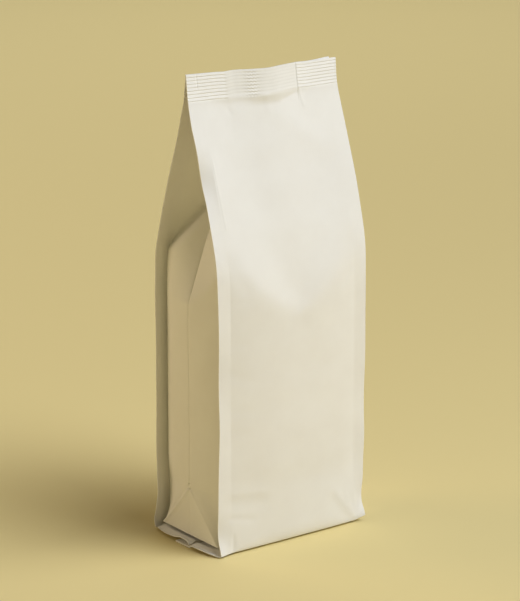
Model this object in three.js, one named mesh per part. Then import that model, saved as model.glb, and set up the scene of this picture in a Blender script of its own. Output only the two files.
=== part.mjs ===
// A filled and sealed side gusset bag: front and back panels with sealed fins along the four upright
// edges, a pleated gusset on each side, a ribbed seal across the top and a folded bottom.
// Millimetres, +Z up, front towards -Y, origin on the floor under the middle of the bag.

import * as THREE from 'three';

// Overall sizes
const HEIGHT = 253;
const WIDTH = 100; // across the front, from cut edge to cut edge
const DEPTH = 56; // front panel to back panel, at the fins
const FIN = 8; // width of the sealed fins
const FILM_PAIR = 0.7; // thickness of a fin, two films
const BULGE = 3; // how far the filled panels stand out between their fins
const BULGE_RISE = 60; // height over which they swell to that
const FRONT_SKEW = 0.8; // the front panel stands this far forward at its left fin, and back at its right

// Top seal
const SEAL_HEIGHT = 14.4;
const SEAL_Y = -1; // the seal lies a little in front of the middle
const SLIT = 0.4; // gap between the front and back fins at the ends of the seal
const RIB_COUNT = 8;
const RIB_DEPTH = 0.3;
const RIB_FAINT = 0.35; // share of that depth between the two gussets, where the seal has fewer layers

// Shoulder, where the panels turn from the contents towards the seal
const SHOULDER_MIDDLE = 127; // lowest point of its V, on the panel's middle line
const SHOULDER_FIN = 156; // height of its two ends, at the fins
const SHOULDER_ROUND = 9; // height over which the turn is spread

// Side gussets: distances outwards from the line where the fins begin
const RIDGE = 6.6; // the pleat stands out this far beside the contents
const RIDGE_TOP = 132; // above this height the pleat turns inwards
const RIDGE_SLOPE = 0.39; // how fast it does so
const POCKET_SLOPE = 1.15; // slant of the pocket walls beside the panels' fins
const POCKET_TOP = 192; // height where the pocket walls reach the pleat
const POCKET_START = 17.5; // depth of the pleat there
const POCKET_DEPTH = 19.5; // and in the seal
const CORNER_BACK = 156; // height of the fold's corner beside the back fin
const CORNER_FRONT = 163; // and beside the front fin

// Folded bottom
const EDGE_ROUND = 3; // radius of the panels' lower edges
const EDGE_PULL = 0.8; // how far these edges are drawn in at the middle
const EDGE_PULL_HEIGHT = 20; // the draw fades out over this height
const FOLD_APEX = 31; // height where the pleat ends, at the tip of the folded triangle
const FOLD_BASE = 2.4; // height of the triangle's lower edge
const FOLD_TUCK = 1; // how far the film tucks in below that edge
const FOLD_SPREAD = 0.93; // share of the side that the lower edge takes up
const FLARE = 2; // how far the fins flare out at their feet
const FLARE_HEIGHT = 5;
const FLARE_SPREAD = 5;
const PINCH = 0.8; // and how far they draw in above that
const PINCH_HEIGHT = 19;
const PINCH_SPREAD = 7;
const STRIP_THICK = 1; // fins of the folded-under ends, which stick out on the floor below the triangle
const STRIP_SIDE = 7.5; // how far they stand out from the fins' roots beside the panels
const STRIP_MIDDLE = 10.5; // and halfway between the panels
const GROOVE_EDGE = 0.2; // height of the turns at the lip of the groove above them

// Lap seam down the back, folded flat
const SEAM_FROM = -15.75;
const SEAM_TO = -5.25;
const SEAM_THICK = 0.6;
const SEAM_EDGE = 0.5; // width of the step at its edges

// How finely the surfaces are divided
const PANEL_STEPS = 16;
const GUSSET_STEPS = 6;

const TIP_X = WIDTH / 2;
const ROOT_X = TIP_X - FIN;
const SEAL_Z = HEIGHT - SEAL_HEIGHT;
const SEAL_HALF = FILM_PAIR + SLIT / 2;
const RIB_PITCH = SEAL_HEIGHT / RIB_COUNT;

const { clamp, lerp, smoothstep } = THREE.MathUtils;

// Zero well below t = 0 and equal to t well above it, with a rounded turn
function softRamp(t, round) {
  return 0.5 * (t + Math.hypot(t, round));
}

function bump(z, middle, spread) {
  return Math.exp(-(((z - middle) / spread) ** 2));
}

// 0 beside the contents, 1 at the seal: how far a panel has turned towards the seal at (x, z)
function turn(x, z) {
  const across = Math.min(Math.abs(x) / ROOT_X, 1);
  const shoulder = lerp(SHOULDER_MIDDLE, SHOULDER_FIN, across);
  const rise = softRamp(Math.min(z, SEAL_Z) - shoulder, SHOULDER_ROUND);
  return rise / softRamp(SEAL_Z - shoulder, SHOULDER_ROUND);
}

// Crimp ribs of the seal, pressed through all the layers alike
function ribs(x, z) {
  const inGusset = Math.abs(x) > ROOT_X - POCKET_DEPTH;
  const depth = RIB_DEPTH * (inGusset ? 1 : RIB_FAINT);
  return z > SEAL_Z ? depth * Math.sin((Math.PI * 2 * (z - SEAL_Z)) / RIB_PITCH) : 0;
}

// Distance of a panel's outer face from the bag's middle plane
function panelDistance(x, z) {
  const across = Math.min(Math.abs(x) / ROOT_X, 1);
  const swell = BULGE * smoothstep(z, 0, BULGE_RISE) - EDGE_PULL * (1 - smoothstep(z, 0, EDGE_PULL_HEIGHT));
  const bulge = swell * (1 - across ** 2);
  const alongFin = Math.max(Math.abs(x) - ROOT_X, 0) / FIN;
  const flare = FLARE * bump(z, FLARE_HEIGHT, FLARE_SPREAD) - PINCH * bump(z, PINCH_HEIGHT, PINCH_SPREAD);
  const under = Math.max(EDGE_ROUND - z, 0);
  const tuck = EDGE_ROUND - Math.sqrt(EDGE_ROUND ** 2 - under ** 2);
  const full = DEPTH / 2 + bulge + alongFin * flare - tuck;
  return lerp(full, SEAL_HALF, turn(x, z));
}

function frontY(x, z) {
  const skew = (FRONT_SKEW * x) / TIP_X;
  return lerp(skew, SEAL_Y, turn(x, z)) - panelDistance(x, z) + ribs(x, z);
}

function backY(x, z) {
  const onSeam = x >= SEAM_FROM && x <= SEAM_TO && z < SEAL_Z && z > EDGE_ROUND;
  const seam = onSeam ? SEAM_THICK : 0;
  return lerp(0, SEAL_Y, turn(x, z)) + panelDistance(x, z) + seam + ribs(x, z);
}

// How far a gusset stands out from the fins' roots, at a share s of the way from pleat to fin.
// The pleat's ridge, the facet that slants inwards above it and the pocket wall meet in folds.
function gussetReach(s, z, cornerZ, halfDepth) {
  const spread = clamp((FOLD_APEX - z) / (FOLD_APEX - FOLD_BASE), 0, 1) * FOLD_SPREAD;
  const body = RIDGE * Math.min(1, (1 - s) / (1 - spread));
  const lift = RIDGE_SLOPE * (cornerZ - RIDGE_TOP) - RIDGE;
  const facet = RIDGE - RIDGE_SLOPE * (z - RIDGE_TOP) + lift * s;
  const topShare = clamp((z - POCKET_TOP) / (SEAL_Z - POCKET_TOP), 0, 1);
  const pocket = Math.max(POCKET_SLOPE * halfDepth, lerp(POCKET_START, POCKET_DEPTH, topShare));
  const wall = -pocket * (1 - s);
  return Math.max(wall, Math.min(body, facet));
}

// The same below the folded triangle: a groove, and under it the strips on the floor
function footReach(s, z) {
  return z > STRIP_THICK ? -FOLD_TUCK * (1 - s) : lerp(STRIP_MIDDLE, STRIP_SIDE, s ** 2);
}

// Points of one side's gusset from its front fin to its back fin; side is 1 for right, -1 for left
function gussetPoints(side, z) {
  const x = side * ROOT_X;
  const front = frontY(x, z) + FILM_PAIR;
  const back = backY(x, z) - FILM_PAIR;
  const middle = (front + back) / 2;
  const points = [];
  for (let i = -GUSSET_STEPS; i <= GUSSET_STEPS; i += 1) {
    const s = Math.abs(i) / GUSSET_STEPS;
    const corner = i < 0 ? CORNER_FRONT : CORNER_BACK;
    const reach = z < FOLD_BASE ? footReach(s, z) : gussetReach(s, z, corner, (back - front) / 2);
    const y = lerp(middle, i < 0 ? front : back, s);
    points.push([side * (ROOT_X + reach), y]);
  }
  return points;
}

function panelColumns() {
  const columns = [-TIP_X, TIP_X, SEAM_FROM - SEAM_EDGE, SEAM_TO + SEAM_EDGE];
  for (let i = 0; i <= PANEL_STEPS; i += 1) {
    columns.push(lerp(-ROOT_X, ROOT_X, i / PANEL_STEPS));
  }
  return columns.sort((a, b) => a - b);
}

const COLUMNS = panelColumns();

// The closed outline of the bag at one height, counter-clockwise from above, from the front left fin
function outline(z) {
  const front = COLUMNS.map((x) => [x, frontY(x, z)]);
  const back = COLUMNS.map((x) => [x, backY(x, z)]);
  const innerFront = (x) => [x, frontY(x, z) + FILM_PAIR];
  const innerBack = (x) => [x, backY(x, z) - FILM_PAIR];
  return [
    ...front,
    innerFront(TIP_X),
    ...gussetPoints(1, z),
    innerBack(TIP_X),
    ...back.reverse(),
    innerBack(-TIP_X),
    ...gussetPoints(-1, z).reverse(),
    innerFront(-TIP_X),
  ];
}

// Numbers of an outline's points, by the stretch that they belong to, each stretch from left to right
// or from front to back
function stretches() {
  let next = 0;
  const take = (count) => Array.from({ length: count }, () => next++);
  const front = take(COLUMNS.length);
  const frontTipRight = take(1);
  const right = take(2 * GUSSET_STEPS + 1);
  const backTipRight = take(1);
  const back = take(COLUMNS.length).reverse();
  const backTipLeft = take(1);
  const left = take(2 * GUSSET_STEPS + 1).reverse();
  const frontTipLeft = take(1);
  return { front, back, left, right, frontTipLeft, frontTipRight, backTipLeft, backTipRight, count: next };
}

const PARTS = stretches();

// The fins' ends, which both caps have alike
function finCaps() {
  const { front, back, left, right } = PARTS;
  const last = COLUMNS.length - 1;
  const quads = [
    [front[0], front[1], left[0], PARTS.frontTipLeft[0]],
    [front[last - 1], front[last], PARTS.frontTipRight[0], right[0]],
    [PARTS.backTipLeft[0], left[2 * GUSSET_STEPS], back[1], back[0]],
    [right[2 * GUSSET_STEPS], PARTS.backTipRight[0], back[last], back[last - 1]],
  ];
  return quads.flatMap(([a, b, c, d]) => [[a, b, c], [a, c, d]]);
}

// Triangles between two rows of points that run side by side from left to right
function zip(lower, upper, ring) {
  const triangles = [];
  let i = 0;
  let k = 0;
  while (i + 1 < lower.length || k + 1 < upper.length) {
    const lowerX = i + 1 < lower.length ? ring[lower[i + 1]][0] : Infinity;
    const upperX = k + 1 < upper.length ? ring[upper[k + 1]][0] : Infinity;
    if (lowerX <= upperX) {
      triangles.push([lower[i], lower[i + 1], upper[k]]);
      i += 1;
    } else {
      triangles.push([lower[i], upper[k + 1], upper[k]]);
      k += 1;
    }
  }
  return triangles;
}

// The seal's cut top: a front and a back layer beside each gusset, joined between the two pleats
function topCap(ring) {
  const { front, back, left, right } = PARTS;
  const pleat = ROOT_X - POCKET_DEPTH;
  const from = COLUMNS.findIndex((x) => x > -pleat);
  const to = COLUMNS.findLastIndex((x) => x < pleat);
  const rightEnd = COLUMNS.length - 1;
  const leftPleat = left[GUSSET_STEPS];
  const rightPleat = right[GUSSET_STEPS];
  return [
    ...finCaps(),
    ...zip(front.slice(1, from + 1), left.slice(0, GUSSET_STEPS + 1), ring),
    ...zip(left.slice(GUSSET_STEPS).reverse(), back.slice(1, from + 1), ring),
    [leftPleat, front[from], back[from]],
    ...zip(front.slice(from, to + 1), back.slice(from, to + 1), ring),
    [front[to], rightPleat, back[to]],
    ...zip(front.slice(to, rightEnd), right.slice(0, GUSSET_STEPS + 1).reverse(), ring),
    ...zip(right.slice(GUSSET_STEPS), back.slice(to, rightEnd), ring),
  ];
}

// The flat bottom, a fan round its middle point
function bottomCap(middle) {
  const { front, back, left, right } = PARTS;
  const loop = [
    ...front.slice(1, -1),
    ...right,
    ...back.slice(1, -1).reverse(),
    ...[...left].reverse(),
  ];
  const fan = loop.map((a, i) => [middle, a, loop[(i + 1) % loop.length]]);
  return [...finCaps(), ...fan];
}

function stretch(from, to, count) {
  return Array.from({ length: count }, (_, i) => lerp(from, to, i / count));
}

// Heights of the outlines: close together at the folds and along the ribs
function levels() {
  return [
    0,
    STRIP_THICK / 2,
    STRIP_THICK,
    STRIP_THICK + GROOVE_EDGE,
    FOLD_BASE - GROOVE_EDGE,
    ...stretch(FOLD_BASE, FOLD_APEX, 8),
    ...stretch(FOLD_APEX, SHOULDER_MIDDLE, 6),
    ...stretch(SHOULDER_MIDDLE, POCKET_TOP, 14),
    ...stretch(POCKET_TOP, SEAL_Z, 6),
    SEAL_Z,
    ...stretch(SEAL_Z + RIB_PITCH / 4, HEIGHT + RIB_PITCH / 4, RIB_COUNT * 2),
    HEIGHT,
  ];
}

// A closed skin over the stack of outlines
function bagGeometry() {
  const heights = levels();
  const rings = heights.map(outline);
  const { count } = PARTS;
  const top = (rings.length - 1) * count;
  const positions = rings.flatMap((ring, k) => ring.flatMap(([x, y]) => [x, y, heights[k]]));
  const middle = positions.length / 3;
  positions.push(0, 0, 0);
  const index = [];
  for (let k = 0; k + 1 < rings.length; k += 1) {
    for (let i = 0; i < count; i += 1) {
      const a = k * count + i;
      const b = k * count + ((i + 1) % count);
      index.push(a, b, b + count, a, b + count, a + count);
    }
  }
  bottomCap(middle).forEach(([a, b, c]) => index.push(a, c, b));
  topCap(rings[rings.length - 1]).forEach(([a, b, c]) => index.push(top + a, top + b, top + c));
  const geometry = new THREE.BufferGeometry();
  geometry.setAttribute('position', new THREE.Float32BufferAttribute(positions, 3));
  geometry.setIndex(index);
  geometry.computeVertexNormals();
  return geometry;
}

const film = new THREE.MeshStandardMaterial({ color: 0xe9e6dc, roughness: 0.62, metalness: 0 });

const bag = new THREE.Mesh(bagGeometry(), film);
bag.name = 'bag';

const model = new THREE.Group();
model.add(bag);

export default model;
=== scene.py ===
"""Looks of a filled side gusset bag: creased film, ribbed top seal, folded bottom, and a small studio.

Shapes are worked out in millimetres, in the same frame as the solid: +Z up, front towards -Y, origin on the
floor under the middle of the bag. They become metres when a mesh is made.
"""

import math

import bpy
import numpy as np
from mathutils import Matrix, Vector


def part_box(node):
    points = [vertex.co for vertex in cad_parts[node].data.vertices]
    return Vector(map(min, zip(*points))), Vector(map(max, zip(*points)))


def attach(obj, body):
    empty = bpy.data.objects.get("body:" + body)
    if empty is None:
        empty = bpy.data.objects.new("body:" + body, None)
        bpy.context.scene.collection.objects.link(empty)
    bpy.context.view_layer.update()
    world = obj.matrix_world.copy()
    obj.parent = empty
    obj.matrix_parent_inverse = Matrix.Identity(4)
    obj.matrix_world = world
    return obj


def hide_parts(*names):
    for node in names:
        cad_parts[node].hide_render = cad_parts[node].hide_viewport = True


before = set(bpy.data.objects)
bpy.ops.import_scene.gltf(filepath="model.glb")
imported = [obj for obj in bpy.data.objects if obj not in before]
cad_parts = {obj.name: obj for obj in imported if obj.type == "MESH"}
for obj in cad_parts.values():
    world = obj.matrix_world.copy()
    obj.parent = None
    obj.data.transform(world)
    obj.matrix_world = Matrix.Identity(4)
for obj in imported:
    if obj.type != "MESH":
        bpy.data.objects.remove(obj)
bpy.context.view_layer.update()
MM = 0.001

# Overall sizes; the height and the film's slot come from the frame
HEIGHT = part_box("bag")[1].z / MM
WIDTH = 100.0  # from tip to tip of the fins
DEPTH = 56.0  # between the panels, at the fins
FIN = 8.0  # width of a fin
FILM_PAIR = 0.45  # thickness of a fin, two films
BULGE = 3.0  # how far the filled panels stand out between their fins
BULGE_LOW = 1.2  # and how far at their lower edges
BULGE_RISE = 60.0  # height over which they swell from one to the other
BULGE_POWER = 2.4  # above 2 the swelling is flatter in the middle and steeper beside the fins
FRONT_SKEW = 0.8  # the front panel stands this far forward at its left fin, and back at its right
TIP_X = WIDTH / 2
ROOT_X = TIP_X - FIN

# Top seal
SEAL_HEIGHT = 13.6
SEAL_Z = HEIGHT - SEAL_HEIGHT
SEAL_Y = -2.4  # where the seal begins
SEAL_LEAN = 0.14  # it leans back by this share of its height
LEAN_TURN = 1.0  # half the height over which the lean sets in
SEAL_TURN = 3.0  # height over which the panels turn into it
SEAL_BOW = 2.6  # the seal curves this far forward a little right of its middle
SEAL_BOW_X = 2.0
SEAL_BOW_SPREAD = 20.0
SLIT = 0.3  # gap between the front and back layers over the gussets
THIN_HALF = 0.3  # half the seal's thickness between the gussets
THIN_FADE = 8.0  # height below the seal over which the layers draw together
PLEAT_LEFT = -24.8  # the gussets' pleats reach in to here
PLEAT_RIGHT = 21.3
STAND_OFF = 2.4  # at the left end the back layer stands off by this much where the seal begins
STAND_OFF_FROM = 28.0
STAND_OFF_RISE = (-30.0, -3.0)  # it grows between these heights, counted from the seal's foot
STAND_OFF_CLOSE = 0.75  # share of it that is closed again at the cut edge
SPLAY = 3.2  # at the right end it stands off by this much at the cut edge
SPLAY_FROM = 30.0
SPLAY_LOW = 25.0  # and begins this far below the seal
RIB_COUNT = 8
RIB_PITCH = SEAL_HEIGHT / RIB_COUNT
RIB_TOP = 1.1  # first groove below the cut edge
RIB_DEPTH = 0.21
RIB_FAINT = 0.2  # share of that depth between the gussets
RIB_START = (-0.4, 0.2)  # the ribs begin between these heights, counted from the seal's foot
PLEAT_EDGE = (-0.2, 0.4)  # and deepen between these distances past a pleat's end
GROOVE_SHARE = 0.2  # share of the pitch that a groove takes
DOT_PITCH = 1.93  # the jaws' pattern shows as rows of dots over the back's lap seam
DOT_DEPTH = 0.42
DOT_X = -9.6
DOT_SPREAD = 3.6
DOTS_FROM = -17.0  # the mesh is fine between these two
DOTS_TO = -3.0
STEP_LEFT = 6.0  # width of the step at the left pleat's end
STEP_RIGHT = 0.7  # and at the right one's
LINE_WIDTH = 0.35  # short upright line at the left fin's root
LINE_DEPTH = 0.12
LINE_X = -43.2
LINE_RISE = (5.0, 8.0)  # it begins between these heights above the seal's foot
SEAL_SKEW = 0.28  # the seal's lower edge climbs by this much at the right end, and drops at the left
SEAL_FADE = 30.0  # changes of its edges fade out over this height below it
# Change of height of the seal's cut edge along its length, as (x, change)
SEAL_EDGE = [(-50, 0), (-30, -0.25), (-24.2, -0.6), (-23, -0.3), (-19, 0), (-10, -0.4), (2, -0.5), (9.5, 0),
             (21.3, 0.25), (28, -0.05), (40, 0.1), (50, 0.3)]
SEAL_EDGE_BLUR = 1.2  # how softly this table is followed
# How far below the seal the panel stays flat before it turns, as (x, drop)
PUCKERS = [(-50, 0), (-38, 0), (-30, 1.6), (-24, 2.6), (-12.9, 2.6), (-3.6, 3.2), (4.4, 3.2), (12.4, 2.8),
           (19.1, 2.4), (24, 1.6), (34, 0), (50, 0)]
PUCKER_SLOPE = 0.17  # depth of this hollow for each millimetre of drop
PUCKER_ROUND = 0.8  # turn at the flat stretch's lower end
PUCKER_BLUR = 0.8
PUCKER_FADE = 24.0  # height over which the hollow closes again
PUSH = 1.1  # between the pleats the seal stands forward of the panels by this much
PUSH_FADE = 6.0  # height below it over which they turn back
PUSH_BLUR = 2.0
# Share of the push along the seal, as (x, share)
PUSH_SHARE = [(-50, 0), (-22, 0), (-14, 0.25), (-8, 0.8), (-2, 1), (5, 1), (12, 0.6), (20, 0.2), (26, 0),
              (50, 0)]

# Shoulder, where the panels turn from the contents towards the seal
SHOULDER_MIDDLE = 125.6  # its height at the V's point
SHOULDER_FIN = 156.0  # and at the fins' roots
SHOULDER_TIP_X = 3.0  # the front V's lowest point lies a little to the right
SHOULDER_TIP_ROUND = 0.04  # how round the V's point is, as a share of the panel's half width
SHOULDER_OPEN = 0.6  # the V's two sides run into one another above it
SHOULDER_OPEN_Z = 168.0
BELLY = 1.3  # the panels swell by this much above the shoulder
BELLY_Z = 166.0
BELLY_SPREAD = 30.0
SHOULDER_ROUND_MIDDLE = 6.0  # size of its turn at the V's point
SHOULDER_ROUND_FIN = 9.0  # and at the fins' roots

# Side gussets
RIDGE = 6.6  # the pleat stands out from the fins' roots by this much
RIDGE_TOP = 132.3  # up to this height
RIDGE_SLOPE = 0.36  # and then runs in by this much for each millimetre
FLANK_BULGE = 6.2  # swelling of each side of the pleat, most of it near the fins
FLANK_CURVE = 0.55
CREASE_DEPTH = 0.3  # the pressed pleat is a fine valley
CREASE_WIDTH = 0.45
CREASE_TOP = 168.0  # it ends here
CREASE_FADE = 12.0  # and fades out over this height
CREASE_LOW = 0.5  # share of its depth on the folded triangle
CREASE_GROW = (-2.0, 4.0)  # it deepens between these heights, counted from the triangle's apex
CORNER_BACK = 157.0  # where the swollen flank ends at the back fin
CORNER_FRONT = 163.8  # and at the front fin
FOLD_ROUND = 0.9  # turn of the folds above the ridge
PLEAT_ROUND = 0.25  # turn of the pleat line at the ridge's top
PLEAT_SHARE = 0.25  # one turn becomes the other over this share of the half width
TURN_SHARPEN = 6.0  # beside the fins all turns sharpen, over one part in this many of the half width
PLEAT_PULL = 1.8  # above it the film is drawn in mostly near the pleat
SHELF_RISE = 5.0  # from the back corner a fold climbs by this much to the pleat
SHELF_STEEPEN = 24.0  # and by this much more, ever more steeply
SHELF_FALL = 0.8  # above it the film falls in by this much for each millimetre
SHELF_EDGE = 0.3  # the fold is sharp at the corner
SHELF_ROUND = 11.0  # and this much rounder at the pleat
POCKET_FROM = 150.0  # heights between which the hollow between the panels deepens
POCKET_TOP = 182.0
POCKET_LOW = 9.0  # from this depth
POCKET_MOST = 20.0  # to this one
POCKET_CURVE = 0.6  # below 1 its walls are steeper beside the fins
VALLEY_ROUND = 3.0  # turn at the foot of the hollow

# Folded bottom
BASE_Z = 1.1  # the bottom rests on the folded flap below it
EDGE_ROUND = 1.2  # in the middle of a panel its lower edge turns under by this much
EDGE_TALL = 9.0  # over this height
EDGE_SHARP = 0.4  # and beside the fins by this much
FOOT_OUT = 1.6  # the front's lower edge stands forward by this much
FOOT_SKEW = 0.2  # what is left there of FRONT_SKEW
FOOT_BLEND = 40.0  # height over which both change to the panel's own values
FOLD_APEX = 31.9  # heights of the folded triangle's apex and lower edge
FOLD_BASE = 4.4
FOLD_TUCK = 9.0  # depth of the groove below it
TUCK_POWER = 6  # high, so that the groove keeps its depth until near the fins
FOLD_SPREAD = 0.93  # its lower edge takes this share of the side's width
FOLD_CURVE = 1.3  # curve of the film beside the triangle
FOLD_SKEW = 0.15  # the triangle stands out more towards the front
FOLD_TURN = 0.35  # height over which the triangle's lower edge rounds into the groove
FOLD_RISE_BACK = 0.4  # its slanting edge towards the back stands up by this much, beside a fine valley
FOLD_RISE_FRONT = 0.2  # and the one towards the front
FOLD_WIDTH = 0.7
SLANT_GROW = 2.0  # they begin over this height above the lower edge
SLANT_FADE = (-1.0, 2.0)  # and end between these heights, counted from the apex
SIDE_BLEND = (-8.0, 12.0)  # between these the triangle's plane turns into the swollen side
# Near the floor the fins stand out and a little higher they draw in, as (distance, height, spread)
FRONT_FLARE = (1.6, 0.0, 6.0)
FRONT_PINCH = (1.2, 13.0, 9.0)
BACK_FLARE = (2.0, 5.0, 5.0)
BACK_PINCH = (0.8, 19.0, 7.0)
FOOT_LIFT = 2.2  # the right fins' feet stand this far off the floor at their tips
FOOT_HEIGHT = 12.0
FIN_WAVE = 0.35  # how far the fins waver along their length
FIN_WAVE_LONG = 83.0  # in a long wave
FIN_WAVE_SHORT = 47.0  # and a shorter one
FIN_WAVE_SHARE = 0.6  # with this share of its height
FIN_WAVE_SHIFT = 2.1  # and this many times its phase
FIN_WAVE_GROW = (20.0, 60.0)  # heights between which the waves begin
FIN_WAVE_TOP = 200.0  # and from which they fade out up to the seal
FRONT_PHASES = (0.6, 2.4)  # phases of the left and the right fin
BACK_PHASES = (4.0, 1.3)
FIN_BEND = 2.1  # the front left fin's tip is bent back by this much
FIN_BEND_Z = 200.0
FIN_BEND_SPREAD = 11.0
# Pinched spots at the triangle's apex, as (distance towards the back, z)
APEX_SPOTS = [(0.3, 33.3), (-0.8, 30.5), (0.9, 30.7)]
SPOT_DEPTH = 0.8
SPOT_SIZE = 0.6
# Change of the fins' reach along their height, as (z, change)
TIP_FRONT_LEFT = [(0, 0.4), (24, 0.7), (44, 0.3), (70, -0.3), (103, -0.5), (129, 0), (154, 0.2), (166, 0),
                  (178, -0.3), (190, -1.0), (200, -1.2), (211, -0.3), (226, 0.4), (238, -0.1), (253, -0.5)]
TIP_BACK_LEFT = [(0, 0.6), (8, 0.8), (15, 1.1), (22, 0), (29, -0.1), (56, 0), (117, 0), (143, -0.3),
                 (157, 0.6), (184, 1), (198, 1.25), (211, 1), (224, -0.1), (238, -0.35), (253, -1.3)]
TIP_FRONT_RIGHT = [(0, -1.5), (3, -1.4), (9, -1.6), (16, -2.1), (23, -1.1), (51, 0), (139, 0), (152, 0.65),
                   (165, 1), (178, 0.6), (203, 0.3), (215, -0.1), (228, -0.9), (240, -1.6), (253, -0.9)]
TIP_BACK_RIGHT = [(0, 0.4), (8, 0.5), (15, 0.8), (22, 0), (56, 0), (143, -0.2), (170, 0.6), (198, 0.8),
                  (211, 0.5), (225, -0.3), (240, -1.4), (253, -2.3)]
TIP_BLUR = 4.0

# Lap seam down the back
SEAM_FROM = -15.75
SEAM_TO = -5.25
SEAM_THICK = 0.45
SEAM_EDGE = 0.12  # width of the steps at its edges
SEAM_LOW = 0.1  # height over which it begins at the bottom edge
SEAM_PRESS = 0.5  # share of its thickness in the seal
SEAM_PRESS_FADE = 2.0

# Strips of the folded-under fins and the flap between them, on the floor
# Outer edge of the front and back strip, as (y, reach, z)
STRIP_FRONT = [(-30.3, 50.8, 0.7), (-28.2, 51.8, 0.8), (-24.1, 53.2, 1.4), (-18.8, 54.3, 1.9),
               (-13.0, 54.7, 2.1), (-11.5, 54.7, 2.2), (-10.0, 55.4, 2.1), (-9.2, 55.3, 2.0)]
STRIP_BACK = [(-7.3, 54.6, 2.0), (-6.3, 54.2, 2.7), (-3.5, 53.7, 3.5), (2.0, 53.3, 3.6), (4.4, 53.1, 3.0),
              (7.4, 53.1, 2.2), (16.0, 52.8, 1.6), (22.0, 51.7, 1.4), (27.4, 50.3, 1.3)]
STRIP_BLUR = 0.6
STRIP_SHORT = 4.2  # strips and flap reach this much less far out on the right
STRIP_RIGHT_Y = -21.0  # where the front strip starts there, which is further back
STRIP_INNER = 36.0  # the strips' hidden inner edges
STRIP_THICK = 0.4
STRIP_BED = 2.2  # height of their inner parts
STRIP_BED_SHARE = 0.62  # which are this share of the width
STRIP_CREST = 0.7  # they rise by this much before they go under the triangle
STRIP_CREST_IN = 4.6  # this far inside their outer edges
STRIP_CREST_SPREAD = 2.0
STRIP_LIFT = 0.3  # the back strip's end stands up a little at the joint
STRIP_LIFT_SPREAD = 3.0
STRIP_HEEL = 2.5  # the front strip's inner part starts this far behind its outer corner
STRIP_HEEL_SHARE = 0.72  # and is this share of the width
STRIP_HEEL_FADE = 8.0  # the change fades out over this length
STRIP_COLUMNS = 33
STRIP_ROWS = 61
FLAP_FRONT_Y = -6.9
FLAP_BACK_Y = 5.4
FLAP_REACH = 53.9
FLAP_THICK = 1.0
FLAP_RIB = 0.06  # half the height of its crimp ribs
FLAP_COLUMNS = 81
FLAP_ROWS = 85

# Unevenness of the film, and how folds, tables and edges are smoothed
UNEVEN = 0.1
UNEVEN_WAVES = (58.0, 41.0, 29.0, 21.0)  # lengths of its waves
UNEVEN_POWER = 4  # high, so that they keep their height until near the fins
UNEVEN_SIDE = 90.0  # the gussets take their waves from this far to each side
UNEVEN_FADE = (130.0, 200.0)  # and lose them between these heights
FRONT_SEED = 3
BACK_SEED = 8
GUSSET_SEED = 5
RELIEF_LOW = 4.0  # the panels' relief begins between the bottom edge and this height
RELIEF_TOP = (-0.5, 1.0)  # and ends between these heights, counted from the seal's foot
FADE_WIDTHS = 1.6  # a fold fades out past its ends over this many of its widths
CURVE_STEPS = 9  # places that are averaged where a table is followed softly
SHARP_ANGLE = 40.0  # edges that turn by more degrees than this stay sharp

# Soft folds on the front: start and end as (x, z), width, and height, which is negative for a dent
FRONT_FOLDS = [
    # Wrinkles from the left fin into the filled panel
    ((-42.0, 137.0), (-31.0, 136.0), 1.6, -0.06),
    ((-42.0, 114.0), (-32.0, 113.6), 1.3, -0.12),
    ((-42.0, 98.5), (-29.0, 93.0), 1.5, -0.16),
    ((-42.0, 79.3), (-28.0, 77.2), 1.4, -0.12),
    ((-42.0, 66.7), (-31.0, 65.5), 1.2, -0.12),
    ((-40.0, 33.8), (-23.0, 31.8), 3.0, 0.16),
    ((-40.0, 27.6), (-23.0, 25.6), 4.5, -0.2),
    ((-42.0, 20.0), (-30.0, 17.5), 2.0, -0.16),
    # Ends of the shoulder
    ((-40.5, 157.0), (-34.0, 146.0), 5.0, -0.4),
    ((39.5, 157.0), (35.0, 146.5), 4.6, -0.4),
    ((39.0, 143.5), (33.0, 136.5), 1.6, -0.15),
    # Tip of the shoulder's V
    ((3.6, 126.2), (4.6, 127.6), 2.6, 0.2),
    # Fold that runs up from the right foot, and the hollow on its left
    ((42.5, 2.0), (29.0, 20.0), 2.4, 0.22),
    ((42.5, 2.0), (36.0, 17.0), 1.4, 0.12),
    ((35.0, 6.0), (27.0, 15.0), 3.4, -0.1),
    # Crease beside the left foot
    ((-41.6, 1.0), (-41.2, 9.0), 1.2, -0.25),
    # Creases below the seal
    ((-25.2, 233.2), (-24.6, 232.4), 1.4, -0.12),
    ((-1.6, 238.6), (-0.6, 232.0), 2.0, 0.12),
    ((2.0, 236.0), (8.0, 236.6), 1.8, 0.12),
    ((10.0, 235.4), (20.0, 237.6), 0.9, -0.16),
    ((21.9, 238.8), (23.6, 231.5), 0.9, 0.13),
    ((9.0, 226.0), (30.0, 212.0), 6.5, 0.3),
    # Step along the left fin's root on the upper panel
    ((-41.1, 209.0), (-40.3, 176.0), 0.45, 0.12),
    ((-39.6, 209.0), (-38.8, 176.0), 2.4, 0.14),
]

# And on the back
BACK_FOLDS = [
    ((41.0, 33.0), (24.0, 29.0), 2.4, -0.4),
    ((42.0, 101.0), (30.0, 96.0), 1.4, -0.15),
    ((42.0, 72.0), (29.0, 74.0), 1.4, -0.13),
    ((-42.0, 118.0), (-30.0, 115.5), 1.4, -0.14),
    ((-42.0, 58.0), (-28.0, 55.0), 1.5, -0.15),
    ((-40.0, 157.0), (-34.0, 146.0), 3.2, -0.4),
    ((40.0, 157.5), (34.0, 147.0), 3.4, -0.45),
    ((-42.0, 4.0), (-29.0, 20.0), 2.8, 0.7),
]

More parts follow.
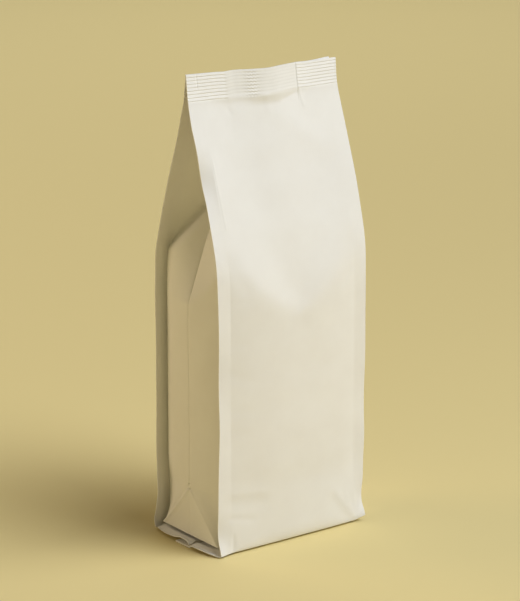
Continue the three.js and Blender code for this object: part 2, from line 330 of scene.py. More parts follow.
# Camera: where it stands and the point that it looks at
CAMERA_AT = (-764.2, -991.4, 446.9)
CAMERA_AIM = (-0.8, 0.2, 126.55)
CAMERA_LENS = 144.5
CAMERA_SENSOR = 36.0
CAMERA_REACH = 30000.0  # it sees no further than this

# Studio: a broad soft key from the front right, a nearer cool soft light on the same side, a warm fill from
# the back left, a light on the floor behind, and two weak warm reflectors that lie on the floor in front of
# the bag and on its left
LIGHT_AIM = (0.0, 0.0, 200.0)
KEY_AT = (700.0, -1000.0, 1690.0)
KEY_ANGLE = 50.0
KEY_POWER = 2.1
KEY_COLOR = (1.0, 1.0, 1.0)
NEAR_AT = (300.0, -600.0, 850.0)
NEAR_SIZE = 500.0
NEAR_POWER = 3.24
NEAR_COLOR = (0.86, 0.92, 1.0)
FILL_AT = (-1120.0, 1200.0, 620.0)
FILL_SIZE = 900.0
FILL_POWER = 8.8
FILL_COLOR = (1.0, 0.79, 0.52)
CARD_AIM_Z = 100.0  # the reflectors face straight up
FRONT_CARD_AT = (60.0, -240.0, 2.0)
FRONT_CARD_SIZE = (300.0, 260.0)
FRONT_CARD_POWER = 0.07
FRONT_CARD_COLOR = (1.0, 0.7, 0.25)
SIDE_CARD_AT = (-260.0, 60.0, 2.0)
SIDE_CARD_SIZE = (300.0, 300.0)
SIDE_CARD_POWER = 0.03
SIDE_CARD_COLOR = (1.0, 0.66, 0.2)
BACKGROUND_AT = (1200.0, 1600.0, 1500.0)
BACKGROUND_AIM = (1200.0, 1600.0, 0.0)
BACKGROUND_SIZE = 1500.0
BACKGROUND_POWER = 7.0
BACKGROUND_COLOR = (1.0, 1.0, 1.0)
WORLD_COLOR = (1.0, 0.9, 0.7, 1)
WORLD_POWER = 0.03

# Floor and film
FLOOR_RADIUS = 9000.0
FLOOR_RIM = 2000.0  # radius of the rim's upward curve
FLOOR_RIM_STEPS = 12
FLOOR_SIDES = 64
FLOOR_COLOR = (0.74, 0.62, 0.3, 1)
FLOOR_ROUGHNESS = 0.8
FLOOR_SPECULAR = 0.15
FILM_COLOR = (0.845, 0.84, 0.82, 1)
FILM_COLOR_DEEP = (0.815, 0.805, 0.78, 1)
FILM_ROUGHNESS = (0.48, 0.66)  # it varies with the grain between these
FILM_SPECULAR = 0.35
FILM_SHEEN = 0.08
FILM_SHEEN_ROUGHNESS = 0.5
CLOUD_SCALE = 45.0
CLOUD_DETAIL = 5.0
CLOUD_ROUGHNESS = 0.6
CLOUD_RANGE = (0.3, 0.7)  # values of the noise that have the deep and the light colour
GRAIN_SCALE = 1400.0
GRAIN_DETAIL = 3.0
GRAIN_STRENGTH = 0.35
GRAIN_HEIGHT = 0.04


def lerp(a, b, t):
    return a + (b - a) * t


def smoothstep(t, low, high):
    t = np.clip((t - low) / (high - low), 0, 1)
    return t * t * (3 - 2 * t)


def bell(t, middle, spread):
    return np.exp(-(((t - middle) / spread) ** 2))


def soft_ramp(t, turn_size):
    """Zero well below t = 0 and equal to t well above it, with a rounded turn."""
    return 0.5 * (t + np.hypot(t, turn_size))


def soft_min(a, b, turn_size):
    return 0.5 * (a + b - np.hypot(a - b, turn_size))


def soft_max(a, b, turn_size):
    return 0.5 * (a + b + np.hypot(a - b, turn_size))


def round_ramp(t, half):
    """Zero below -half and equal to t above half, with an even turn between."""
    return np.where(t > half, t, np.clip(t + half, 0, None) ** 2 / (4 * half))


def curve(t, table, blur):
    """A smooth curve that follows a table of (place, value) pairs."""
    places, values = zip(*table)
    steps = np.linspace(-blur, blur, CURVE_STEPS)
    return sum(np.interp(t + step, places, values) for step in steps) / len(steps)


def fold(x, z, start, end, width, height):
    """A straight soft fold from start to end that fades out past its ends."""
    run_x = end[0] - start[0]
    run_z = end[1] - start[1]
    length = math.hypot(run_x, run_z)
    along = ((x - start[0]) * run_x + (z - start[1]) * run_z) / length
    beside = ((x - start[0]) * run_z - (z - start[1]) * run_x) / length
    past = np.maximum(np.maximum(-along, along - length), 0)
    return height * np.exp(-((beside / width) ** 2) - (past / (FADE_WIDTHS * width)) ** 2)


def folds(x, z, listed):
    return sum(fold(x, z, *one) for one in listed)


def unevenness(x, z, seed):
    """Slow waves of film that isn't quite flat, as a sum of crossing sines."""
    draw = np.random.default_rng(seed)
    total = 0
    for wave in UNEVEN_WAVES:
        angle = draw.uniform(0, math.pi)
        phase = draw.uniform(0, 2 * math.pi)
        across = x * math.cos(angle) + z * math.sin(angle)
        total = total + wave / UNEVEN_WAVES[0] * np.sin(2 * math.pi * across / wave + phase)
    return UNEVEN * total


def panel_unevenness(x, z, seed):
    """The slow waves of a panel, which fade out towards its fins."""
    return unevenness(x, z, seed) * (1 - across_panel(x) ** UNEVEN_POWER)


def along_fin(x):
    """0 from the fins' roots inwards and 1 at their tips."""
    return np.maximum(np.abs(x) - ROOT_X, 0) / FIN


def across_panel(x, tip_x=0.0):
    """0 on the panel's middle line, or at tip_x, and 1 from the fins' roots outwards."""
    left = (tip_x - x) / (ROOT_X + tip_x)
    right = (x - tip_x) / (ROOT_X - tip_x)
    return np.clip(np.maximum(left, right), 0, 1)


def shoulder_turn(x, z, tip_x=0.0):
    """0 beside the contents, 1 at the seal: how far a panel has turned towards the seal."""
    point = lerp(SHOULDER_TIP_ROUND, SHOULDER_OPEN, smoothstep(z, SHOULDER_MIDDLE, SHOULDER_OPEN_Z))
    share = (np.hypot(across_panel(x, tip_x), point) - point) / (np.hypot(1, point) - point)
    shoulder = lerp(SHOULDER_MIDDLE, SHOULDER_FIN, share)
    turn_size = lerp(SHOULDER_ROUND_MIDDLE, SHOULDER_ROUND_FIN, share)
    rise = soft_ramp(soft_min(z, SEAL_Z, SEAL_TURN) - shoulder, turn_size)
    return rise / soft_ramp(SEAL_Z - shoulder, turn_size)


def puckers(x, z):
    """The hollow below the seal, where the panel stays flat for a while before it turns."""
    drop = curve(x, PUCKERS, PUCKER_BLUR)
    below = SEAL_Z - z
    flat = np.maximum(soft_min(below, drop, PUCKER_ROUND), 0)
    return PUCKER_SLOPE * flat * (1 - smoothstep(below, drop, drop + PUCKER_FADE))


def seal_push(x, z):
    """Between the pleats the seal stands forward of the panels, which turn back just below it."""
    return -PUSH * curve(x, PUSH_SHARE, PUSH_BLUR) * smoothstep(z, SEAL_Z - PUSH_FADE, SEAL_Z)


def belly(x, z):
    """The swelling of a panel above its shoulder."""
    return BELLY * (1 - across_panel(x) ** 2) * bell(z, BELLY_Z, BELLY_SPREAD)


def past_pleat(x):
    """Distance past the end of the nearer pleat, negative between the two."""
    return np.maximum(PLEAT_LEFT - x, x - PLEAT_RIGHT)


def over_gusset(x):
    """0 between the pleats and 1 over the gussets."""
    return smoothstep(past_pleat(x), *PLEAT_EDGE)


def seal_half(x, z):
    """Half the seal's thickness, which is less between the pleats, where it has fewer layers."""
    full = FILM_PAIR + SLIT / 2
    from_left = smoothstep(x, PLEAT_LEFT, PLEAT_LEFT + STEP_LEFT)
    to_right = 1 - smoothstep(x, PLEAT_RIGHT - STEP_RIGHT, PLEAT_RIGHT)
    return lerp(full, THIN_HALF, from_left * to_right * smoothstep(z, SEAL_Z - THIN_FADE, SEAL_Z))


def seal_line(x):
    """The seal's own place in depth where it begins, with its slow curve."""
    return SEAL_Y - SEAL_BOW * bell(x, SEAL_BOW_X, SEAL_BOW_SPREAD)


def seal_lean(z):
    """How far the seal leans back at a height."""
    return SEAL_LEAN * round_ramp(z - SEAL_Z, LEAN_TURN)


def ribs(x, z):
    """Crimped ribs of the seal: flat lands that lean back, and narrow grooves that turn down."""
    share = np.mod((z - HEIGHT + RIB_TOP) / RIB_PITCH, 1)
    land = 1 - GROOVE_SHARE
    rib = np.where(share < land, share / land, (1 - share) / GROOVE_SHARE) - 0.5
    depth = RIB_DEPTH * lerp(RIB_FAINT, 1, over_gusset(x))
    dots = DOT_DEPTH * bell(x, DOT_X, DOT_SPREAD) * (0.5 + 0.5 * np.cos(2 * math.pi * x / DOT_PITCH))
    return smoothstep(z - SEAL_Z, *RIB_START) * rib * (depth + dots)


def seal_line_mark(x, z):
    """A short upright line in the upper half of the seal, at the left fin's root."""
    return LINE_DEPTH * bell(x, LINE_X, LINE_WIDTH) * smoothstep(z - SEAL_Z, *LINE_RISE)


def panel_distance(x, z, flare, pinch):
    """Distance of a panel's outer face from the bag's middle plane beside the contents."""
    share = across_panel(x)
    swell = lerp(BULGE_LOW, BULGE, smoothstep(z, 0, BULGE_RISE))
    bulge = swell * (1 - share**BULGE_POWER)
    fin_share = along_fin(x)
    foot = flare[0] * bell(z, *flare[1:]) - pinch[0] * bell(z, *pinch[1:])
    tall = lerp(EDGE_TALL, EDGE_SHARP, share**2)
    under = np.clip((tall - (z - BASE_Z)) / tall, 0, 1)
    tuck = lerp(EDGE_ROUND, EDGE_SHARP, share**2) * (1 - np.sqrt(1 - under**2))
    return DEPTH / 2 + bulge + fin_share * foot - (1 - fin_share) * tuck


def fin_wave(x, z, phases):
    """How far the left and the right fin waver, with a phase for each."""
    phase = np.where(x < 0, *phases)
    long_wave = np.sin(2 * math.pi * z / FIN_WAVE_LONG + phase)
    short_wave = np.sin(2 * math.pi * z / FIN_WAVE_SHORT + FIN_WAVE_SHIFT * phase)
    share = smoothstep(z, *FIN_WAVE_GROW) * (1 - smoothstep(z, FIN_WAVE_TOP, SEAL_Z))
    return FIN_WAVE * along_fin(x) * (long_wave + FIN_WAVE_SHARE * short_wave) * share


def fin_bend(x, z):
    """How far the left fin's tip is bent back."""
    return FIN_BEND * np.maximum(-x - ROOT_X, 0) / FIN * bell(z, FIN_BEND_Z, FIN_BEND_SPREAD)


def relief_share(z):
    """Relief of the panels fades out in the seal and at the bottom edge."""
    return smoothstep(z, BASE_Z, RELIEF_LOW) * (1 - smoothstep(z - SEAL_Z, *RELIEF_TOP))


def front_y(x, z):
    """Place in depth of the front panel's outer face."""
    turn = shoulder_turn(x, z, SHOULDER_TIP_X)
    low = 1 - smoothstep(z, 0, FOOT_BLEND)
    skew = lerp(FRONT_SKEW, FOOT_SKEW, low) * x / TIP_X - FOOT_OUT * low
    body = skew - panel_distance(x, z, FRONT_FLARE, FRONT_PINCH)
    panel = lerp(body, seal_line(x) - seal_half(x, z), turn) + seal_lean(z) + seal_push(x, z)
    panel = panel + puckers(x, z) - belly(x, z)
    relief = folds(x, z, FRONT_FOLDS) + panel_unevenness(x, z, FRONT_SEED)
    fins = fin_wave(x, z, FRONT_PHASES) + fin_bend(x, z)
    return panel - relief_share(z) * relief + fins + ribs(x, z) + seal_line_mark(x, z)


def splay(x, z):
    """The back layer of the seal stands off from the front one at both ends."""
    right = SPLAY * smoothstep(x, SPLAY_FROM, TIP_X) * smoothstep(z, SEAL_Z - SPLAY_LOW, HEIGHT)
    left = STAND_OFF * smoothstep(-x, STAND_OFF_FROM, TIP_X) * smoothstep(z - SEAL_Z, *STAND_OFF_RISE)
    return right + left * (1 - STAND_OFF_CLOSE * smoothstep(z, SEAL_Z, HEIGHT))


def lap_seam(x, z):
    """The seam's second layer down the back, which is pressed thinner in the seal."""
    first_edge = smoothstep(x, SEAM_FROM - SEAM_EDGE, SEAM_FROM)
    second_edge = 1 - smoothstep(x, SEAM_TO, SEAM_TO + SEAM_EDGE)
    foot = smoothstep(z, BASE_Z, BASE_Z + SEAM_LOW)
    press = lerp(1, SEAM_PRESS, smoothstep(z, SEAL_Z - SEAM_PRESS_FADE, SEAL_Z))
    return SEAM_THICK * first_edge * second_edge * foot * press


def back_y(x, z):
    """Place in depth of the back panel's outer face."""
    turn = shoulder_turn(x, z)
    body = panel_distance(x, z, BACK_FLARE, BACK_PINCH)
    panel = lerp(body, seal_line(x) + seal_half(x, z), turn) + seal_lean(z) + seal_push(x, z)
    panel = panel - puckers(-x, z) + belly(x, z)
    relief = folds(x, z, BACK_FOLDS) + panel_unevenness(x, z, BACK_SEED)
    wave = fin_wave(x, z, BACK_PHASES)
    return panel + relief_share(z) * relief + wave + ribs(x, z) + lap_seam(x, z) + splay(x, z)


def gusset_reach(sigma, z, pleat_depth):
    """How far a gusset stands out from the fins' roots; sigma is -1 at the front fin and 1 at the back."""
    to_fin = np.abs(sigma)  # 0 at the pleat and 1 at a fin
    turn_share = np.minimum(1, (1 - to_fin) * TURN_SHARPEN)
    bulge = FLANK_BULGE * to_fin * (1 - to_fin) ** FLANK_CURVE
    spread = np.clip((FOLD_APEX - z) / (FOLD_APEX - FOLD_BASE), 0, 1) * FOLD_SPREAD
    beyond = np.clip((to_fin - spread) / (1 - spread), 0, 1)
    triangle = RIDGE * (1 - FOLD_SKEW * sigma) * (1 - beyond**FOLD_CURVE)
    filled = smoothstep(z - FOLD_APEX, *SIDE_BLEND)

    # Above the ridge the pleat line runs inwards, and the film on each side of it follows
    inwards = RIDGE - RIDGE_SLOPE * (z - RIDGE_TOP)
    lift = RIDGE_SLOPE * (CORNER_FRONT - RIDGE_TOP) - RIDGE
    flank = RIDGE * (1 - to_fin) + bulge
    front_round = lerp(PLEAT_ROUND, FOLD_ROUND, np.minimum(1, to_fin / PLEAT_SHARE))
    front = soft_min(flank, inwards + lift * to_fin, front_round * turn_share)
    back = flank - round_ramp(RIDGE - inwards, PLEAT_ROUND) * (1 - to_fin) ** PLEAT_PULL
    shelf = CORNER_BACK + SHELF_RISE * (1 - sigma) + SHELF_STEEPEN * (1 - sigma) ** 2
    fall = SHELF_FALL * round_ramp(z - shelf, SHELF_EDGE + SHELF_ROUND * (1 - sigma))
    sides = lerp(triangle, np.where(sigma < 0, front, back), filled) - fall

    # The hollow between the panels
    top_share = np.clip((z - POCKET_TOP) / (SEAL_Z - POCKET_TOP), 0, 1)
    low_share = smoothstep(z, POCKET_FROM, POCKET_TOP)
    pocket = lerp(lerp(POCKET_LOW, POCKET_MOST, low_share), pleat_depth, top_share)
    wall = -pocket * (1 - to_fin) ** POCKET_CURVE
    return soft_max(wall, sides, VALLEY_ROUND * turn_share * (1 - top_share))


def gusset_creases(sigma, z, half_depth):
    """The pressed valley of the pleat, the slanting edges of the folded triangle, and its pinched apex."""
    beside = sigma * half_depth
    pleat_top = 1 - smoothstep(z, CREASE_TOP - CREASE_FADE, CREASE_TOP)
    pleat_low = lerp(CREASE_LOW, 1, smoothstep(z - FOLD_APEX, *CREASE_GROW))
    pleat = -CREASE_DEPTH * pleat_top * pleat_low * np.exp(-np.abs(beside / CREASE_WIDTH))
    spread = (FOLD_APEX - z) / (FOLD_APEX - FOLD_BASE) * FOLD_SPREAD
    slant = (np.abs(sigma) - spread) * half_depth / math.sqrt(2)
    begun = smoothstep(z, FOLD_BASE, FOLD_BASE + SLANT_GROW)
    inside = begun * (1 - smoothstep(z - FOLD_APEX, *SLANT_FADE))
    rise = np.where(sigma > 0, FOLD_RISE_BACK, FOLD_RISE_FRONT)
    ridge = bell(slant, -FOLD_WIDTH, FOLD_WIDTH)
    valley = bell(slant, FOLD_WIDTH, FOLD_WIDTH)
    edges = rise * inside * (ridge - valley)
    spots = sum(np.exp(-((beside - y) ** 2 + (z - up) ** 2) / SPOT_SIZE**2) for y, up in APEX_SPOTS)
    return pleat + edges - SPOT_DEPTH * spots


def gusset(side, sigma, z):
    """Points of one gusset, one row for each height; side is 1 for right, -1 for left."""
    root = np.full_like(z, side * ROOT_X)
    half_depth = (back_y(root, z) - front_y(root, z)) / 2 - FILM_PAIR
    pleat_depth = ROOT_X - (PLEAT_RIGHT if side > 0 else -PLEAT_LEFT)
    reach = gusset_reach(sigma, z, pleat_depth) + gusset_creases(sigma, z, half_depth)
    waves = unevenness(side * UNEVEN_SIDE + sigma * half_depth, z, GUSSET_SEED)
    uneven = waves * (1 - sigma**2) * (1 - smoothstep(z, *UNEVEN_FADE))
    groove = -FOLD_TUCK * (1 - np.abs(sigma) ** TUCK_POWER)
    lip = np.sqrt(np.clip((z - FOLD_BASE) / FOLD_TURN, 0, 1))
    reach = lerp(groove, reach + uneven, lip)
    inner = side * (ROOT_X + np.minimum(reach, 0))
    front = front_y(inner, z) + FILM_PAIR
    back = back_y(inner, z) - FILM_PAIR
    y = (front + back) / 2 + sigma * (back - front) / 2
    return np.stack(np.broadcast_arrays(side * (ROOT_X + reach), y, z), axis=-1)


def spans(*listed):
    """Rising values from spans of (from, to, step), each with its last value left to the next span."""
    values = [np.linspace(a, b, max(1, round((b - a) / step)), endpoint=False) for a, b, step in listed]
    return np.concatenate(values + [[listed[-1][1]]])


# Columns and levels of the film's mesh, finer where the shape is finer
FRONT_X = spans(
    (-TIP_X, LINE_X - 0.9, 1.5),
    (LINE_X - 0.9, -ROOT_X - 0.5, 0.25),
    (-ROOT_X - 0.5, -ROOT_X + 1.9, 0.3),
    (-ROOT_X + 1.9, PLEAT_LEFT - 1.2, 1.0),
    (PLEAT_LEFT - 1.2, PLEAT_LEFT + 3.3, 0.5),
    (PLEAT_LEFT + 3.3, DOTS_FROM, 0.9),
    (DOTS_FROM, DOTS_TO, 0.36),
    (DOTS_TO, PLEAT_RIGHT - 0.9, 1.1),
    (PLEAT_RIGHT - 0.9, PLEAT_RIGHT + 0.5, 0.2),
    (PLEAT_RIGHT + 0.5, PLEAT_RIGHT + 2.7, 0.4),
    (PLEAT_RIGHT + 2.7, ROOT_X - 1.0, 1.1),
    (ROOT_X - 1.0, ROOT_X, 0.5),
    (ROOT_X, TIP_X, 1.6),
)
BACK_X = spans(
    (-TIP_X, -ROOT_X, 1.6),
    (-ROOT_X, SEAM_FROM - 1.2, 1.5),
    (SEAM_FROM - 1.2, SEAM_FROM - SEAM_EDGE, 0.6),
    (SEAM_FROM - SEAM_EDGE, SEAM_FROM, SEAM_EDGE),
    (SEAM_FROM, SEAM_TO, 1.0),
    (SEAM_TO, SEAM_TO + SEAM_EDGE, SEAM_EDGE),
    (SEAM_TO + SEAM_EDGE, ROOT_X, 1.5),
    (ROOT_X, TIP_X, 1.6),
)
HALF_SIGMA = spans((0.0, 0.04, 0.008), (0.04, 0.1, 0.02), (0.1, 0.86, 0.026), (0.86, 1.0, 0.02))
SIGMA = np.concatenate([-HALF_SIGMA[:0:-1], HALF_SIGMA])
FIN_COLUMNS = 4
FIN_INNER = np.linspace(ROOT_X, TIP_X, FIN_COLUMNS + 1)[1:]
GROOVE = GROOVE_SHARE * RIB_PITCH
RIB_STEPS = (-GROOVE, -GROOVE / 2, 0.0, 0.5, 1.0)  # levels at each groove, counted from its upper edge
RIB_LEVELS = [
    HEIGHT - RIB_TOP - RIB_PITCH * rib + step
    for rib in range(RIB_COUNT - 1, -1, -1)
    for step in RIB_STEPS
]
LEVELS = np.concatenate([
    spans(
        (BASE_Z, BASE_Z + 0.3, 0.1),
        (BASE_Z + 0.3, FOLD_BASE, 0.4),
        (FOLD_BASE, FOLD_BASE + FOLD_TURN, 0.1),
        (FOLD_BASE + FOLD_TURN, 28.0, 0.7),
        (28.0, 34.0, 0.4),
        (34.0, 118.0, 2.2),
        (118.0, 185.0, 1.2),
        (185.0, 222.0, 1.8),
        (222.0, RIB_LEVELS[0] - 0.6, 0.8),
    ),
    RIB_LEVELS,
    [HEIGHT],
])


def bag_points():
    """Rows of points, one closed outline for each height, and the numbers of the points of each stretch."""
    z = LEVELS[:, None]

    def face(place, x, inwards, tip_left, tip_right):
        columns = np.broadcast_to(x[None, :], (len(z), len(x)))
        fin_share = along_fin(columns)
        change = np.where(columns < 0, -curve(z, tip_left, TIP_BLUR), curve(z, tip_right, TIP_BLUR))
        y = place(columns, z) + inwards
        lift = FOOT_LIFT * fin_share * (columns > 0) * (1 - smoothstep(z, BASE_Z, FOOT_HEIGHT))
        return np.stack(np.broadcast_arrays(columns + change * fin_share, y, z + lift), axis=-1)

    def front(x, inwards=0.0):
        return face(front_y, x, inwards, TIP_FRONT_LEFT, TIP_FRONT_RIGHT)

    def back(x, inwards=0.0):
        return face(back_y, x, inwards, TIP_BACK_LEFT, TIP_BACK_RIGHT)

    stretches = {
        "front": front(FRONT_X),
        "front_tip_right": front(FIN_INNER[::-1], FILM_PAIR),
        "right": gusset(1, SIGMA[None, :], z),
        "back_tip_right": back(FIN_INNER, -FILM_PAIR),
        "back": back(BACK_X[::-1]),
        "back_tip_left": back(-FIN_INNER[::-1], -FILM_PAIR),
        "left": gusset(-1, SIGMA[None, ::-1], z),
        "front_tip_left": front(-FIN_INNER, FILM_PAIR),
    }
    points = np.concatenate(list(stretches.values()), axis=1)
    starts = np.cumsum([0] + [one.shape[1] for one in stretches.values()])
    numbers = {name: np.arange(a, b) for name, a, b in zip(stretches, starts, starts[1:])}

    # The seal's cut edge follows its table, and its lower edge climbs to the right
    x = points[..., 0]
    height = points[..., 2]
    height = height + curve(x, SEAL_EDGE, SEAL_EDGE_BLUR) * smoothstep(height, SEAL_Z - SEAL_FADE, HEIGHT)
    above = np.clip((HEIGHT - height) / SEAL_HEIGHT, 0, 1)
    skew = SEAL_SKEW * x / TIP_X * smoothstep(height, SEAL_Z - SEAL_FADE, SEAL_Z) * above
    points[..., 2] = height + skew
    return points, numbers


def zip_rows(lower, upper, ring):
    """Triangles between two rows of points that run side by side from left to right."""
    triangles = []
    i = 0
    k = 0
    while i + 1 < len(lower) or k + 1 < len(upper):
        lower_x = ring[lower[i + 1]][0] if i + 1 < len(lower) else math.inf
        upper_x = ring[upper[k + 1]][0] if k + 1 < len(upper) else math.inf
        if lower_x <= upper_x:
            triangles.append((lower[i], lower[i + 1], upper[k]))
            i += 1
        else:
            triangles.append((lower[i], upper[k + 1], upper[k]))
            k += 1
    return triangles


def seal_cap(ring, numbers):
    """The seal's cut top: a front and a back layer beside each gusset, joined between the pleats."""
    half = len(SIGMA) // 2
    left = numbers["left"][::-1]
    right = numbers["right"]
    front = numbers["front"]
    back = numbers["back"][::-1]
    front_row = np.concatenate([numbers["front_tip_left"][::-1], left[: half + 1]])
    back_row = np.concatenate([numbers["back_tip_left"], left[: half - 1 : -1]])
    front_row_right = np.concatenate([right[: half + 1][::-1], numbers["front_tip_right"][::-1]])
    back_row_right = np.concatenate([right[half:], numbers["back_tip_right"]])
    front_from = int(np.searchsorted(FRONT_X, ring[left[half]][0]))
    front_to = int(np.searchsorted(FRONT_X, ring[right[half]][0])) - 1
    back_from = int(np.searchsorted(BACK_X, ring[left[half]][0]))
    back_to = int(np.searchsorted(BACK_X, ring[right[half]][0])) - 1
    return [
        *zip_rows(front[: front_from + 1], front_row, ring),
        *zip_rows(back_row, back[: back_from + 1], ring),
        (left[half], front[front_from], back[back_from]),
        *zip_rows(front[front_from : front_to + 1], back[back_from : back_to + 1], ring),
        (front[front_to], right[half], back[back_to]),
        *zip_rows(front[front_to:], front_row_right, ring),
        *zip_rows(back_row_right, back[back_to:], ring),
    ]


def base_cap(numbers, middle):
    """The flat bottom, a fan round its middle point, and the fins' ends."""
    front = numbers["front"]
    back = numbers["back"]
    inner = np.abs(FRONT_X) <= ROOT_X
    inner_back = np.abs(BACK_X[::-1]) <= ROOT_X
    loop = np.concatenate([front[inner], numbers["right"], back[inner_back], numbers["left"]])
    fan = [(middle, loop[(i + 1) % len(loop)], loop[i]) for i in range(len(loop))]
    ends = [
        [*front[FRONT_X <= -ROOT_X], numbers["left"][-1], *numbers["front_tip_left"]],
        [*front[FRONT_X >= ROOT_X], *numbers["front_tip_right"], numbers["right"][0]],
        [*back[BACK_X[::-1] >= ROOT_X][::-1], numbers["right"][-1], *numbers["back_tip_right"]][::-1],
        [*back[BACK_X[::-1] <= -ROOT_X], *numbers["back_tip_left"], numbers["left"][0]],
    ]
    return fan + [tuple(end[::-1]) for end in ends]


def make_object(name, points, faces, material):
    mesh = bpy.data.meshes.new(name)
    mesh.from_pydata((np.asarray(points) * MM).tolist(), [], [tuple(map(int, one)) for one in faces])
    mesh.validate()
    mesh.shade_smooth()
    mesh.set_sharp_from_angle(angle=math.radians(SHARP_ANGLE))
    mesh.materials.append(material)
    piece = bpy.data.objects.new(name, mesh)
    bpy.context.scene.collection.objects.link(piece)
    return piece


def make_bag(material):
    """The whole film as one closed mesh."""
    points, numbers = bag_points()
    rows, count, _ = points.shape
    here = np.arange(count)
    after = (here + 1) % count
    base = (np.arange(rows - 1) * count)[:, None]
    quads = np.stack([base + here, base + after, base + after + count, base + here + count], axis=-1)
    top = (rows - 1) * count
    flat = points.reshape(-1, 3)
    middle = len(flat)
    flat = np.concatenate([flat, [[0.0, 0.0, BASE_Z]]])
    cap = [tuple(top + number for number in one) for one in seal_cap(points[-1], numbers)]
    faces = quads.reshape(-1, 4).tolist() + cap + base_cap(numbers, middle)
    return make_object("bag_film", flat, faces, material)


def make_sheet(name, middle, thick, material):
    """A closed thin sheet of even thickness around a grid of points."""
    normal = np.cross(np.gradient(middle, axis=0), np.gradient(middle, axis=1))
    normal /= np.linalg.norm(normal, axis=-1, keepdims=True)
    rows, count, _ = middle.shape
    points = np.concatenate([
        (middle + normal * thick / 2).reshape(-1, 3),
        (middle - normal * thick / 2).reshape(-1, 3),
    ])
    other_side = rows * count
    number = np.arange(other_side).reshape(rows, count)
    a, b, c, d = number[:-1, :-1], number[1:, :-1], number[1:, 1:], number[:-1, 1:]
    side = np.stack([a, b, c, d], axis=-1).reshape(-1, 4)
    border = np.concatenate([number[:, 0], number[-1, 1:], number[::-1, -1][1:], number[0, ::-1][1:-1]])
    after = np.roll(border, -1)
    walls = np.stack([border, border + other_side, after + other_side, after], axis=-1)
    faces = np.concatenate([side, side[:, ::-1] + other_side, walls])
    return make_object(name, points, faces, material)


def strip_grid(side, front):
    """Middle surface of one strip, from its fin's foot to the joint between the two strips."""
    edge = STRIP_FRONT if front else STRIP_BACK
    outwards = np.linspace(0, 1, STRIP_COLUMNS)[None, :]
    start = edge[0][0] if side < 0 else max(edge[0][0], STRIP_RIGHT_Y)
    y = np.linspace(start, edge[-1][0], STRIP_ROWS)[:, None]
    reach = curve(y, [(place, far) for place, far, _ in edge], STRIP_BLUR)
    height = curve(y, [(place, up) for place, _, up in edge], STRIP_BLUR)
    outer = smoothstep(outwards, STRIP_BED_SHARE, 1)
    if side > 0:
        reach = reach - STRIP_SHORT
    x = lerp(STRIP_INNER, reach, outwards)
    z = lerp(STRIP_BED, height, outer) + STRIP_CREST * bell(reach - x, STRIP_CREST_IN, STRIP_CREST_SPREAD)
    if front:
        heel = STRIP_HEEL * (1 - smoothstep(outwards, STRIP_HEEL_SHARE, 1))
        y = y + heel * (1 - smoothstep(y, start, start + STRIP_HEEL_FADE))
    else:
        z = z + STRIP_LIFT * (1 - outer) * bell(y, edge[0][0], STRIP_LIFT_SPREAD)
    return np.stack(np.broadcast_arrays(side * x, y, z), axis=-1)


def make_strips(material):
    strips = []
    for side, side_name in ((-1, "left"), (1, "right")):
        for front, end_name in ((True, "front"), (False, "back")):
            # The left grids are reversed, so that every strip has its lower side first
            grid = strip_grid(side, front)[::side]
            strips.append(make_sheet(f"strip_{side_name}_{end_name}", grid, STRIP_THICK, material))
    return strips


def make_flap(material):
    """The bottom seal, folded flat under the bag, with its crimp ribs."""
    x = np.linspace(-FLAP_REACH, FLAP_REACH - STRIP_SHORT, FLAP_COLUMNS)[:, None]
    y = np.linspace(FLAP_FRONT_Y, FLAP_BACK_Y, FLAP_ROWS)[None, :]
    z = FLAP_THICK / 2 + FLAP_RIB * (1 + np.cos(2 * math.pi * (y - FLAP_FRONT_Y) / RIB_PITCH))
    grid = np.stack(np.broadcast_arrays(x, y, z), axis=-1)
    return make_sheet("bottom_flap", grid, FLAP_THICK - 2 * FLAP_RIB, material)


def film_material():
    """Matte warm white laminate: faint clouding, fine grain and a soft sheen."""
    material = bpy.data.materials.new("film")
    material.use_nodes = True
    nodes = material.node_tree.nodes
    links = material.node_tree.links
    shader = nodes["Principled BSDF"]
    shader.inputs["Specular IOR Level"].default_value = FILM_SPECULAR
    shader.inputs["Sheen Weight"].default_value = FILM_SHEEN
    shader.inputs["Sheen Roughness"].default_value = FILM_SHEEN_ROUGHNESS
    place = nodes.new("ShaderNodeTexCoord")

    cloud = nodes.new("ShaderNodeTexNoise")
    cloud.inputs["Scale"].default_value = CLOUD_SCALE
    cloud.inputs["Detail"].default_value = CLOUD_DETAIL
    cloud.inputs["Roughness"].default_value = CLOUD_ROUGHNESS
    links.new(place.outputs["Object"], cloud.inputs["Vector"])
    tint = nodes.new("ShaderNodeValToRGB")
    for stop, position, color in zip(tint.color_ramp.elements, CLOUD_RANGE, (FILM_COLOR_DEEP, FILM_COLOR)):
        stop.position = position
        stop.color = color
    links.new(cloud.outputs["Fac"], tint.inputs["Fac"])
    links.new(tint.outputs["Color"], shader.inputs["Base Color"])

    grain = nodes.new("ShaderNodeTexNoise")
    grain.inputs["Scale"].default_value = GRAIN_SCALE
    grain.inputs["Detail"].default_value = GRAIN_DETAIL
    links.new(place.outputs["Object"], grain.inputs["Vector"])
    gloss = nodes.new("ShaderNodeMapRange")
    gloss.inputs["To Min"].default_value = FILM_ROUGHNESS[0]
    gloss.inputs["To Max"].default_value = FILM_ROUGHNESS[1]
    links.new(grain.outputs["Fac"], gloss.inputs["Value"])
    links.new(gloss.outputs["Result"], shader.inputs["Roughness"])
    bump = nodes.new("ShaderNodeBump")
    bump.inputs["Strength"].default_value = GRAIN_STRENGTH
    bump.inputs["Distance"].default_value = GRAIN_HEIGHT * MM
    links.new(grain.outputs["Fac"], bump.inputs["Height"])
    links.new(bump.outputs["Normal"], shader.inputs["Normal"])
    return material


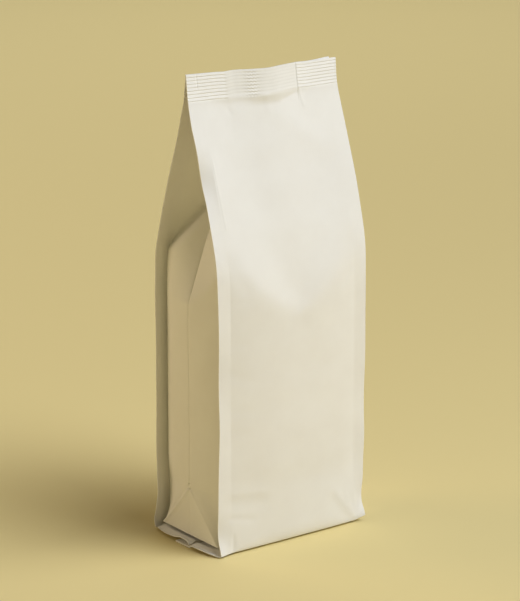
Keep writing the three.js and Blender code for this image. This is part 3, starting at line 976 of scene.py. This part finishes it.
def make_floor():
    """A wide flat floor whose far rim curves up all round."""
    turns = np.linspace(0, 2 * math.pi, FLOOR_SIDES, endpoint=False)
    climb = np.linspace(0, math.pi / 2, FLOOR_RIM_STEPS + 1)[:, None]
    radius = FLOOR_RADIUS + FLOOR_RIM * np.sin(climb)
    height = FLOOR_RIM * (1 - np.cos(climb))
    points = np.stack(np.broadcast_arrays(radius * np.cos(turns), radius * np.sin(turns), height), axis=-1)
    here = np.arange(FLOOR_SIDES)
    after = np.roll(here, -1)
    rings = (np.arange(FLOOR_RIM_STEPS) * FLOOR_SIDES)[:, None]
    next_rings = rings + FLOOR_SIDES
    rim = np.stack([rings + here, next_rings + here, next_rings + after, rings + after], axis=-1)
    faces = [here.tolist()] + rim.reshape(-1, 4).tolist()
    mesh = bpy.data.meshes.new("floor")
    mesh.from_pydata((points.reshape(-1, 3) * MM).tolist(), [], faces)
    mesh.shade_smooth()
    material = bpy.data.materials.new("floor")
    material.use_nodes = True
    shader = material.node_tree.nodes["Principled BSDF"]
    shader.inputs["Base Color"].default_value = FLOOR_COLOR
    shader.inputs["Roughness"].default_value = FLOOR_ROUGHNESS
    shader.inputs["Specular IOR Level"].default_value = FLOOR_SPECULAR
    mesh.materials.append(material)
    floor = bpy.data.objects.new("floor", mesh)
    bpy.context.scene.collection.objects.link(floor)
    return floor


def aim(thing, place, target):
    """Puts a light or the camera at a place, turned to a target."""
    thing.location = Vector(place) * MM
    direction = (Vector(target) - Vector(place)) * MM
    thing.rotation_euler = direction.to_track_quat("-Z", "Y").to_euler()


def make_light(name, data, place, power, color, target=LIGHT_AIM):
    """Adds a light that the camera doesn't see."""
    data.energy = power
    data.color = color
    light = bpy.data.objects.new(name, data)
    light.visible_camera = False
    bpy.context.scene.collection.objects.link(light)
    aim(light, place, target)


def make_soft_light(name, place, size, power, color, target=LIGHT_AIM):
    """A square light."""
    data = bpy.data.lights.new(name, "AREA")
    data.size = size * MM
    make_light(name, data, place, power, color, target)


def make_card(name, place, size, power, color):
    """A weak reflector that lies on the floor and faces up."""
    card = bpy.data.lights.new(name, "AREA")
    card.shape = "RECTANGLE"
    card.size = size[0] * MM
    card.size_y = size[1] * MM
    make_light(name, card, place, power, color, (place[0], place[1], CARD_AIM_Z))


def make_studio():
    key = bpy.data.lights.new("key", "SUN")
    key.angle = math.radians(KEY_ANGLE)
    make_light("key", key, KEY_AT, KEY_POWER, KEY_COLOR)
    make_soft_light("near", NEAR_AT, NEAR_SIZE, NEAR_POWER, NEAR_COLOR)
    make_soft_light("left_fill", FILL_AT, FILL_SIZE, FILL_POWER, FILL_COLOR)
    make_soft_light(
        "background", BACKGROUND_AT, BACKGROUND_SIZE, BACKGROUND_POWER, BACKGROUND_COLOR, BACKGROUND_AIM
    )
    make_card("front_card", FRONT_CARD_AT, FRONT_CARD_SIZE, FRONT_CARD_POWER, FRONT_CARD_COLOR)
    make_card("side_card", SIDE_CARD_AT, SIDE_CARD_SIZE, SIDE_CARD_POWER, SIDE_CARD_COLOR)
    world = bpy.data.worlds.new("studio")
    world.use_nodes = True
    background = world.node_tree.nodes["Background"]
    background.inputs["Color"].default_value = WORLD_COLOR
    background.inputs["Strength"].default_value = WORLD_POWER
    bpy.context.scene.world = world
    bpy.context.scene.view_settings.view_transform = "Standard"


def make_camera():
    data = bpy.data.cameras.new("camera")
    data.sensor_width = CAMERA_SENSOR
    data.lens = CAMERA_LENS
    data.clip_end = CAMERA_REACH * MM
    camera = bpy.data.objects.new("camera", data)
    bpy.context.scene.collection.objects.link(camera)
    aim(camera, CAMERA_AT, CAMERA_AIM)
    bpy.context.scene.camera = camera


film = film_material()
bag = make_bag(film)
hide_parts("bag")
for piece in [bag, *make_strips(film), make_flap(film)]:
    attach(piece, "root")
make_floor()
make_studio()
make_camera()
